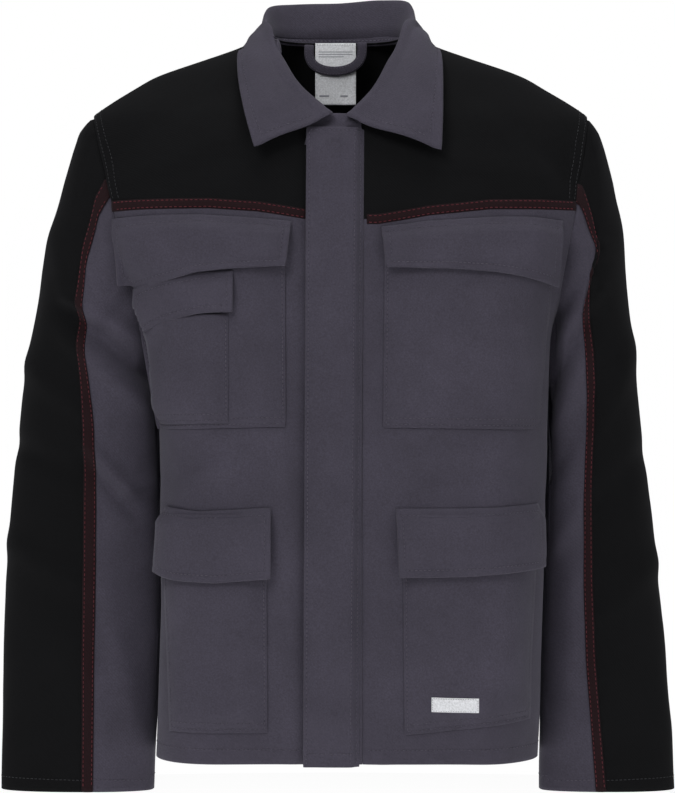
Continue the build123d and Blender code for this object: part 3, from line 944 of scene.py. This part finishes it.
HINGE_BEND = ("torso", (29, -130, -400), (13, -130, -400))
outline = quad_outline((-33, -732), (21, -732), (26, -107), (-30, -107))
placket = front_sheet(*outline, placket_height, step=1.7)
add("placket_front", placket, BODY_CLOTH, GREY, "placket", ["front_placket_outer"], HINGE_BEND)
rows = [("right", 3.0, (2, 2)), ("right", 9.0, (2, 2)), ("left", 2.5, (2, 2)), ("low", 13, (3, 3)),
        ("top", 3, (3, 3))]
sewn("placket_stitches", placket, rows, GREY_THREAD, "placket", HINGE_BEND)
inner = front_sheet(*quad_outline((-30, -730), (20, -730), (25, -109), (-28, -109)),
                    lambda sheet, x, z: placket_height(sheet, x, z, 4.6, False) - 0.6, step=4.0)
add("placket_back", inner, 1.4, GREY, "placket", ["front_placket_inner"], HINGE_BEND)

# ---- facings inside the fronts
for side in (-1, 1):
    near, far, low, top = EDGE_U[side], EDGE_U[side] + 62, HEM_Z + 3, -108
    grid = coons(*quad_outline((near, low), (far, low), (far, top), (near, top)), 6.0)
    points = signed_ring(grid[..., 0], grid[..., 1], side, -1)
    sheet = body_sheet(points, points * (1, 1, 0) - CENTRE, -0.1)
    add(f"{SIDE_NAME[side]}_facing", sheet, 1.2, LINING, "torso", [f"{SIDE_NAME[side]}_front_facing"])

# ---- the sewn label on the lower pocket
label_off = on_pocket(left_lower)
sheet = front_sheet(*quad_outline((92, -678), (138, -679), (138, -665), (92, -664)),
                    lambda sheet, x, z: label_off(x, z) + 0.7, step=2.0)
add("pocket_patch", sheet, 0.6, LABEL, "torso", ["pocket_label"])
sewn("pocket_patch_stitches", sheet, edge_rows(0.9, (1, 1)), PALE_THREAD, "torso", length=1.6, gap=0.8,
     width=0.4, height=0.2)

# ---- sleeves
# height, side x nearest the body's right, the other side's x, half depth
SLEEVES = {
    -1: [(-790, -344, -187, 27), (-600, -341, -174, 44), (-430, -326, -170, 60), (-310, -310, -178, 76),
         (-240, -297, -172, 85), (-190, -286, -150, 87), (-150, -276, -150, 80), (-120, -269, -150, 69),
         (-100, -263, -160, 52), (-88, -255, -178, 32), (-79, -246, -205, 5)],
    1: [(-790, 204, 345, 27), (-600, 202, 334, 44), (-430, 202, 313, 60), (-310, 206, 300, 76),
        (-240, 196, 291, 85), (-190, 176, 284, 87), (-150, 170, 276, 80), (-120, 170, 270, 69),
        (-104, 180, 265, 52), (-93, 192, 258, 32), (-84, 212, 250, 5)],
}
SLEEVE_POWER = 0.92     # a little squarer than an ellipse
SLEEVE_TOP = {-1: -79.5, 1: -84.5}
SLEEVE_PIT = {-1: -297.0, 1: -300.0}
CUFF_Z = -771.0
# the lengthwise seam in the front view, (x, height), down from the armhole
SLEEVE_SEAM = {
    -1: [(-225, -178), (-243, -205), (-255, -250), (-257, -300), (-256, -340), (-251, -400), (-249, -480),
         (-250, -560), (-252, -640), (-254, -780)],
    1: [(236, -178), (247, -197), (255, -221), (256, -236), (254, -252), (250, -271), (248, -288),
        (249, -309), (251, -328), (254, -373), (252, -473), (253, -560), (256, -640), (268, -780)],
}


def sleeve_rows(side):
    zs = np.arange(-775.0, -78.0, 1.0)
    table = np.array(SLEEVES[side], float)
    rows = np.stack([np.interp(zs, table[:, 0], table[:, k]) for k in (1, 2, 3)], 1)
    upper = np.clip((zs + 150) / 50, 0, 1)[:, None]
    return zs, smooth_rows(rows, 22) * (1 - upper) + smooth_rows(rows, 3) * upper


SLEEVE_ROWS = {s: sleeve_rows(s) for s in (-1, 1)}


def sleeve_point(side, angle, z):
    """Angle 0 is the outermost line, pi/2 the front, pi the line nearest the body."""
    zs, rows = SLEEVE_ROWS[side]
    low, high, deep = (np.interp(z, zs, rows[:, k]) for k in range(3))
    centre, half = (low + high) / 2, (high - low) / 2
    c, s = np.cos(angle), np.sin(angle)
    return np.stack([centre + side * half * np.sign(c) * np.abs(c) ** SLEEVE_POWER,
                     -deep * np.sign(s) * np.abs(s) ** SLEEVE_POWER, z + 0 * angle], -1)


def sleeve_top(side, angle):
    """Height at which the sleeve's line at an angle meets the armhole's plane."""
    zs = np.arange(-79.5, -320.0, -0.5)
    best = np.empty(angle.shape)
    for n, a in enumerate(angle):
        line = sleeve_point(side, np.full(zs.shape, a), zs)
        inside = np.nonzero(side * (line[:, 0] - plane_x(side, zs)) <= 0)[0]
        best[n] = zs[inside[-1] + 1] if len(inside) and inside[-1] + 1 < len(zs) else zs[0]
    return best


# ridges and valleys of the sleeves, as in FRONT_CREASES
SLEEVE_CREASES = {
    -1: [((-262, -292), (-196, -345), -6.0, 9), ((-258, -276), (-188, -318), 4.5, 10),
         ((-262, -318), (-200, -375), 3.6, 10), ((-232, -300), (-200, -262), -3.5, 9),
         ((-248, -420), (-214, -462), 3.4, 8), ((-214, -462), (-180, -458), 3.0, 8),
         ((-250, -440), (-212, -482), -3.0, 8), ((-246, -520), (-190, -500), 1.8, 10),
         ((-320, -330), (-262, -380), 2.6, 12), ((-325, -420), (-258, -450), -2.4, 11),
         ((-330, -520), (-262, -560), 2.2, 14), ((-236, -560), (-206, -700), 1.8, 12),
         ((-300, -180), (-262, -260), 2.2, 14), ((-240, -640), (-195, -610), -1.6, 12)],
    1: [((262, -236), (222, -290), -4.2, 12), ((256, -222), (222, -258), 3.4, 12),
        ((256, -262), (234, -300), 3.0, 12), ((258, -240), (216, -330), 3.8, 11),
        ((246, -300), (216, -350), -4.0, 9), ((252, -330), (220, -395), 3.0, 10),
        ((254, -380), (222, -440), -2.6, 10),
        ((300, -320), (262, -400), 2.6, 12), ((310, -430), (262, -480), -2.4, 12),
        ((250, -470), (222, -520), 2.6, 10), ((322, -540), (268, -590), 2.2, 14),
        ((240, -560), (232, -700), 1.8, 12), ((290, -190), (256, -262), 2.4, 14)],
}


def sleeve_folds(side, points, normals):
    """How far the sleeve's cloth stands out of its form."""
    seed = 51 if side < 0 else 57
    soft = (value_noise(points, 88, seed, (1, 1, 0.62)) * 3.4
            + value_noise(points, 40, seed + 1, (1, 1, 0.8)) * 1.1)
    made = 0
    for start, end, height, width in SLEEVE_CREASES[side]:
        made = made + crease(points, start, end, height * 1.4, width)
    front = ease(0.5 - normals[..., 1] * 1.4)
    # every other fold comes again behind, weaker and lower down
    behind = 0
    for start, end, height, width in SLEEVE_CREASES[side][::2]:
        low, high = (start[0], start[1] - 40), (end[0], end[1] - 55)
        behind = behind + crease(points, low, high, height * 0.7, width * 1.2)
    cuff = np.clip((points[..., 2] - CUFF_Z) / 60, 0.25, 1)
    return (soft * cuff + made * front + behind * (1 - front)) * np.clip((-84 - points[..., 2]) / 70, 0.12, 1)


def against_torso(side, points):
    """Below the armpit the sleeve rests on the torso's side without entering it."""
    flank = widest(side, points[..., 2]) + side * 3.6
    depth = side * (points[..., 0] - flank)
    soft = 5.0
    pressed = flank + side * soft * np.logaddexp(0.0, depth / soft)
    below = ease((PIT[side] + 4 - points[..., 2]) / 26.0)
    out = points.copy()
    out[..., 0] = points[..., 0] * (1 - below) + pressed * below
    return out


def armhole_target(side, point):
    """Where a point of the sleeve's upper edge is sewn to the torso."""
    z_top, z_pit = TIP[side], PIT[side]
    share = (point[:, 2] - SLEEVE_TOP[side]) / (SLEEVE_PIT[side] - SLEEVE_TOP[side])
    z = np.clip(z_top + share * (z_pit - z_top), z_pit, z_top)
    x = plane_x(side, z)
    wall = np.where(point[:, 1] < SIDE_Y, form_y(x, z, -1), form_y(x, z, 1))
    at_floor = ease((z - z_pit) / 16.0)
    y = wall * at_floor + np.clip(point[:, 1], -60, 60) * (1 - at_floor)
    return np.stack([x, y, z], 1)


def sleeve_sheet(side, angles, lift):
    """A part of the sleeve, from armhole to cuff. angles are its lengthwise lines, each a list by height."""
    tops = sleeve_top(side, np.array([a[0] for a in angles]))
    run = np.linspace(0, 1, 150)
    grid_angle = np.stack([np.interp(run, np.linspace(0, 1, len(a)), a) for a in angles])
    grid_z = tops[:, None] + (CUFF_Z - tops[:, None]) * run[None]
    points = sleeve_point(side, grid_angle, grid_z)
    centre = np.array([side * 250.0, 0, 0])
    target = armhole_target(side, points[:, 0])
    shift = (target - points[:, 0])[:, None] * np.exp(-np.abs(grid_z - tops[:, None]) / 48.0)[..., None]
    points = points + shift
    normal = grid_normals(points, (points - centre) * (1, 1, 0.02))
    folded = points + normal * (sleeve_folds(side, points, normal) + lift)[..., None]
    folded = against_torso(side, folded)
    # the upper edge stays on the seam and goes a little under the torso's edge
    hold = np.exp(-np.abs(grid_z - tops[:, None]) / 16.0)[..., None]
    folded = folded * (1 - hold) + (points + normal * (lift - 0.6)) * hold
    folded[:, 0] = folded[:, 0] - side * np.array([5.0, 0, 0]) - normal[:, 0] * 2.0
    return Sheet(folded, grid_normals(folded, normal))


def seam_angles(side, back=False):
    """The angle of the lengthwise seam, from armhole to cuff."""
    line = np.array(SLEEVE_SEAM[side], float)[::-1]
    zs, rows = SLEEVE_ROWS[side]
    heights = np.linspace(-186.0, CUFF_Z, 60)
    x = np.interp(heights, line[:, 1], line[:, 0])
    low, high = (np.interp(heights, zs, rows[:, k]) for k in range(2))
    ratio = side * (x - (low + high) / 2) / ((high - low) / 2)
    angle = np.arccos(np.clip(np.sign(ratio) * np.abs(ratio) ** (1 / SLEEVE_POWER), -1, 1))
    return 2 * math.pi - angle if back else angle


def sleeve_bend(side):
    """The torso's body name and the two ends of a stretch beside the armhole, from a little inside its plane
    to outside it.
    """
    (top_x, top_z), (pit_x, pit_z) = ARMHOLE[side]
    slope = (top_x - pit_x) / (top_z - pit_z)
    out = np.array([side, 0, -side * slope]) / math.hypot(1, slope)
    middle = np.array([plane_x(side, -190.0), 0, -190.0])
    return "torso", tuple(middle - out * 4), tuple(middle + out * 46)


def sleeve(side):
    name = SIDE_NAME[side]
    body, bend = f"{name}_sleeve", sleeve_bend(side)
    front, rear = seam_angles(side), seam_angles(side, back=True)
    spread = np.linspace(0, 1, 62)
    outer = sleeve_sheet(side, [(rear - 2 * math.pi) * (1 - f) + front * f for f in spread], BODY_CLOTH)
    add(f"{name}_sleeve_black", outer, BODY_CLOTH, BLACK, body, [f"{name}_sleeve_outer"], bend)
    under = sleeve_sheet(side, [front * (1 - f) + rear * f for f in spread], BODY_CLOTH)
    add(f"{name}_sleeve_grey", under, BODY_CLOTH, GREY, body, [f"{name}_sleeve_under"], bend)
    sewn(f"{name}_cuff_stitches_black", outer, [("top", 13, (1, 1))], BLACK_THREAD, body, bend)
    sewn(f"{name}_cuff_stitches_grey", under, [("top", 13, (1, 1))], GREY_THREAD, body, bend)
    bands = []
    half_angle = 4.4 / 70.0
    for where, line in (("front", front), ("back", rear)):
        sheet = sleeve_sheet(side, [line + f * half_angle for f in (-1.0, -0.5, 0.0, 0.5, 1.0)], 2.9)
        bands.append(shell(f"{name}_sleeve_band_{where}", sheet.outer, sheet.normals, BAND_CLOTH, TAPE))
        rows = edge_rows(1.7, (2, 2), ("left", "right"))
        sewn(f"{name}_sleeve_band_{where}_stitches", sheet, rows, RED_THREAD, body, bend, **BAND_STITCH)
    settle(join(f"{name}_sleeve_band", bands), body, [f"{name}_sleeve_tape"], bend)


for side in (-1, 1):
    sleeve(side)


# ---- collar
# from the centre back to a front end: the neck seam, the fold, the leaf's outer edge
COLLAR = {
    -1: [((0, 57, -1), (0, 66, 41), (0, 88, -22)),
         ((-38, 54, -1), (-44, 64, 40), (-54, 86, -21)),
         ((-58, 38, -1), (-69, 46, 35), (-84, 68, -10)),
         ((-65, 8, -1), (-74, 14, 19), (-91, 31, -8)),
         ((-64, -24, -4), (-67, -26, 7), (-98, -22, -19)),
         ((-55, -56, -34), (-56, -65, -27), (-99, -72, -42)),
         ((-37, -82, -66), (-36, -94, -61), (-92, -112, -86)),
         ((-10, -98, -91), (-6, -112, -91), (-81, -127, -126))],
    1: [((0, 57, -1), (0, 66, 41), (0, 88, -22)),
        ((38, 54, -1), (45, 64, 44), (55, 86, -21)),
        ((58, 38, -1), (71, 47, 40), (86, 68, -10)),
        ((65, 8, -1), (76, 15, 21), (94, 32, -7)),
        ((65, -24, -4), (68, -26, 9), (101, -22, -17)),
        ((56, -56, -34), (55, -65, -27), (104, -73, -40)),
        ((37, -82, -66), (35, -94, -62), (103, -110, -86)),
        ((12, -98, -91), (9, -112, -92), (101, -125, -128))],
}
COLLAR_MIDDLE = (8, 0, -80)
COLLAR_COUNT = 150      # points along the collar


def smooth_line(points, count):
    """A smooth curve through points, evenly shared between them."""
    p = np.asarray(points, float)
    p = np.vstack([2 * p[0] - p[1], p, 2 * p[-1] - p[-2]])
    out = []
    for s in np.linspace(0, len(p) - 3 - 1e-6, count):
        n, t = int(s), s - int(s)
        a, b, c, d = p[n:n + 4]
        out.append(0.5 * (2 * b + (c - a) * t + (2 * a - 5 * b + 4 * c - d) * t * t
                          + (3 * b - a - 3 * c + d) * t ** 3))
    return np.array(out)


def collar_line(column):
    """One of the sections' three points, joined from the right end round the back to the left end."""
    whole = [section[column] for section in COLLAR[-1][::-1]] + [section[column] for section in COLLAR[1][1:]]
    return smooth_line(whole, COLLAR_COUNT)


def hold_off_torso(points, gap):
    """Pushes points lying on the front or back of the torso out to a gap above its cloth."""
    x, y, z = points[..., 0], points[..., 1], points[..., 2]
    out = points.copy()
    front_y = form_y(x, z, -1) - gap
    back_y = form_y(x, z, 1) + gap
    low = z < np.interp(np.abs(x), [60, 110, 190], [-6, -20, -50])
    out[..., 1] = np.where(low & (y < -28), np.minimum(y, front_y), out[..., 1])
    out[..., 1] = np.where(low & (y > 40), np.maximum(y, back_y), out[..., 1])
    return out


seam_line, fold_line, leaf_line = (collar_line(k) for k in range(3))
stand_height = np.linalg.norm(fold_line - seam_line, axis=1, keepdims=True)
up = (fold_line - seam_line) / stand_height
down = normalized(leaf_line - fold_line)
roll_back = up * 0.86 * stand_height
roll_start = fold_line - roll_back


def collar_leaf():
    """Over the roll at the fold, then down to the leaf's outer edge."""
    roll_front = down * 11.0
    roll_end = fold_line + roll_front
    control = fold_line + (roll_back - roll_front) / 2
    outward = np.cross(normalized(np.gradient(fold_line, axis=0)), down)
    outward = outward * np.sign((outward * (fold_line - COLLAR_MIDDLE)).sum())
    from_end = np.minimum(np.arange(COLLAR_COUNT), np.arange(COLLAR_COUNT)[::-1])[:, None]
    rows = []
    for t in np.linspace(0, 1, 10)[:-1]:
        rows.append((1 - t) ** 2 * roll_start + 2 * t * (1 - t) * control + t * t * roll_end)
    for t in np.linspace(0, 1, 26):
        bulge = 4.6 * math.sin(math.pi * min(t * 1.1, 1.0)) + 2.2 * t ** 3
        bow = 30.0 * t * (1 - t) ** 3 * np.exp(-(from_end / 9.0) ** 2)
        line = roll_end + (leaf_line - roll_end) * t + normalized(outward) * bulge
        rows.append(line - np.array([0, 0, 1.0]) * bow)
    grid = hold_off_torso(np.stack(rows, 1), 5.0)
    normal = grid_normals(grid, grid - COLLAR_MIDDLE)
    grid = grid + normal * (value_noise(grid, 40, 61) * 1.8 + value_noise(grid, 90, 62) * 1.6)[..., None]
    leaf = Sheet(grid, grid_normals(grid, normal))
    dips = sum(seam_dip(distance, 8.5, 0.4) for distance in (leaf.top, leaf.left, leaf.right))
    rim = 0.35 * np.exp(-(np.minimum(leaf.top, np.minimum(leaf.left, leaf.right)) / 2.6) ** 2)
    return Sheet(leaf.outer + leaf.normals * (dips + rim)[..., None], leaf.normals)


def collar_stand():
    """From the neck seam up into the roll."""
    rows = [seam_line - up * 1.5 + (roll_start + up * 2.0 - seam_line) * t for t in np.linspace(0, 1, 12)]
    grid = np.stack(rows, 1)
    inward = grid_normals(grid, (8, 0, -40) - grid)
    return Sheet(grid + inward * (value_noise(grid, 40, 65) * 0.8 - 0.6)[..., None], inward)


leaf, stand = collar_leaf(), collar_stand()
add("collar_leaf_cloth", leaf, 2.4, GREY, "torso", ["collar_leaf"])
sewn("collar_stitches", leaf, [("top", 8.5, (9, 9)), ("left", 8.5, (24, 9)), ("right", 8.5, (24, 9))],
     GREY_THREAD, "torso")
add("collar_stand_cloth", stand, 2.2, GREY, "torso", ["collar_stand"])
sewn("collar_stand_stitches", stand, [("low", 3.2, (2, 2))], PALE_THREAD, "torso")


TUCK_CREASES = [((-26, -112), (0, -114), 1.6, 3.0), ((0, -114), (14, -101), 1.8, 3.2),
                ((-12, -98), (10, -108), -1.2, 4.0)]


def tuck_height(sheet, x, z):
    """The top of the under front, tucked between the collar's leaves."""
    folds = sum(crease(np.stack([x, x * 0, z], -1), *each) for each in TUCK_CREASES)
    return 3.2 + folds + 2.0 * np.cos(x / 16.0)


tuck = front_sheet(*quad_outline((-32, -122), (25, -122), (22, -92.5), (-25, -92.5)), tuck_height, step=1.6)
add("front_tuck", tuck, 1.4, GREY, "torso")

# ---- care label and hanger loop
FORWARD = np.array([0, -1.0, 0])
LABEL_HEIGHT = 64.0
LABEL_BEND = ("torso", (-2, 50, -0.5), (-2, 50, -8))
LOOP_BEND = ("care_label", (-2, 48, -1.5), (-2, 48, -9))
# plain bars across the label: share of its height, left and right ends, thickness
BARS = [(0.86, 0.08, 0.92, 0.8), (0.82, 0.08, 0.92, 0.8), (0.78, 0.08, 0.70, 0.8), (0.50, 0.12, 0.88, 0.7),
        (0.46, 0.12, 0.60, 0.7), (0.14, 0.10, 0.34, 2.0), (0.14, 0.62, 0.80, 2.0)]


def care_label():
    """A woven label hanging from the neck seam, with bars in place of its print."""
    x, z = np.meshgrid(np.linspace(-23, 19, 24), np.linspace(-1.5 - LABEL_HEIGHT, -1.5, 40), indexing="ij")
    hang = np.clip((-1.5 - z) / LABEL_HEIGHT, 0, 1)
    y = 49.3 - 1.5 * hang + 0.9 * np.sin((x + 2) / 11.0) * hang - 0.8 * np.sin(hang * 5.0)
    grid = np.stack([x, y, z], -1)
    label = Sheet(grid, grid_normals(grid, FORWARD))
    add("care_label_cloth", label, 0.6, LABEL, "care_label", ["care_label"], LABEL_BEND)
    sewn("care_label_stitches", label, [("top", 1.6, (1, 1))], PALE_THREAD, "care_label", LABEL_BEND,
         length=1.8, gap=0.8, width=0.45, height=0.25)
    bars = []
    for share, start, end, tall in BARS:
        across = np.linspace(start, end, 14)
        edges = [label.at(across, share + d / LABEL_HEIGHT) for d in (-tall / 2, 0, tall / 2)]
        points = np.stack([p + n * 0.12 for p, n in edges], 1)
        bars.append(shell("care_label_bar", points, np.stack([n for p, n in edges], 1), 0.1, PRINT))
    settle(join("care_label_bars", bars), "care_label", bend=LABEL_BEND)


def hanger_loop():
    """A flat strap in a half ring below the neck seam."""
    path = []
    for share in np.linspace(0, 1, 60):
        turn = math.pi * share
        fall = math.sin(turn) ** 0.62
        path.append((-2 - 27.5 * math.cos(turn) * (1 + 0.06 * fall), 46.4 - 1.4 * fall,
                     -2.5 - 28.5 * fall + 2.5 * (share - 0.5)))
    path = np.array(path)
    flat_side = normalized(np.cross(normalized(np.gradient(path, axis=0)), FORWARD))
    strap = [path + flat_side * f * 4.5 + FORWARD * 0.5 * (1 - f * f) for f in np.linspace(-1, 1, 7)]
    grid = np.stack(strap, 1)
    sheet = Sheet(grid, grid_normals(grid, FORWARD))
    add("hanger_loop_strap", sheet, 1.4, GREY, "hanger_loop", ["hanger_loop"], LOOP_BEND)
    sewn("hanger_loop_stitches", sheet, edge_rows(1.4, (2, 2), ("low", "top")), GREY_THREAD, "hanger_loop",
         LOOP_BEND, length=2.0, gap=1.0, width=0.5, height=0.3)


care_label()
hanger_loop()

# ---- snaps keep the CAD's shape
for name in ("placket_snap_studs", "placket_snap_sockets", "pocket_snap_studs", "right_chest_flap_socket",
             "left_chest_flap_socket", "right_lower_flap_socket", "left_lower_flap_socket"):
    for slot in bpy.data.objects[name].material_slots:
        slot.material = SNAP


# ---- stage, light and camera
def pale_floor():
    """A plain pale disc under the jacket."""
    radius, height, sides = 2500, -1100, 72
    turns = np.arange(sides) * 2 * math.pi / sides
    verts = [(radius * math.cos(a), radius * math.sin(a), height) for a in turns]
    material, tree, surface = shader("floor_paper")
    surface.inputs["Base Color"].default_value = (0.92, 0.92, 0.92, 1)
    surface.inputs["Roughness"].default_value = 0.9
    surface.inputs["Emission Color"].default_value = (1, 1, 1, 1)
    surface.inputs["Emission Strength"].default_value = 0.7
    new_object("floor", verts, [tuple(range(sides))], material, smooth=False)


def area_light(name, place, aim, size, power):
    light = bpy.data.lights.new(name, "AREA")
    light.energy, light.size, light.shape = power, size, "SQUARE"
    lamp = bpy.data.objects.new(name, light)
    lamp.location = place
    lamp.rotation_euler = (Vector(aim) - Vector(place)).to_track_quat("-Z", "Y").to_euler()
    bpy.context.scene.collection.objects.link(lamp)


def studio_world():
    """White to the eye, dim as light."""
    world = bpy.data.worlds.new("studio")
    world.use_nodes = True
    sky = world.node_tree
    background = sky.nodes["Background"]
    background.inputs["Color"].default_value = (1, 1, 1, 1)
    seen = node(sky, "ShaderNodeLightPath")
    level = node(sky, "ShaderNodeMapRange", To_Min=0.17, To_Max=1.0)
    sky.links.new(seen.outputs["Is Camera Ray"], level.inputs["Value"])
    sky.links.new(level.outputs[0], background.inputs["Strength"])
    bpy.context.scene.world = world
    bpy.context.scene.view_settings.view_transform = "Standard"


def front_camera():
    data = bpy.data.cameras.new("camera")
    data.sensor_width = 36.0
    data.lens = 123.9344
    camera = bpy.data.objects.new("camera", data)
    camera.location = (0.0, -2.8, -0.370)
    camera.rotation_euler = (math.pi / 2, 0, 0)
    bpy.context.scene.collection.objects.link(camera)
    bpy.context.scene.camera = camera


pale_floor()
area_light("key", (-1.1, -2.1, 1.5), (0, 0, -0.35), 1.3, 34)
area_light("fill", (1.9, -2.2, 0.3), (0, 0, -0.35), 1.8, 8)
area_light("top", (0.2, -0.5, 1.9), (0, 0, -0.3), 1.2, 19)
studio_world()
front_camera()
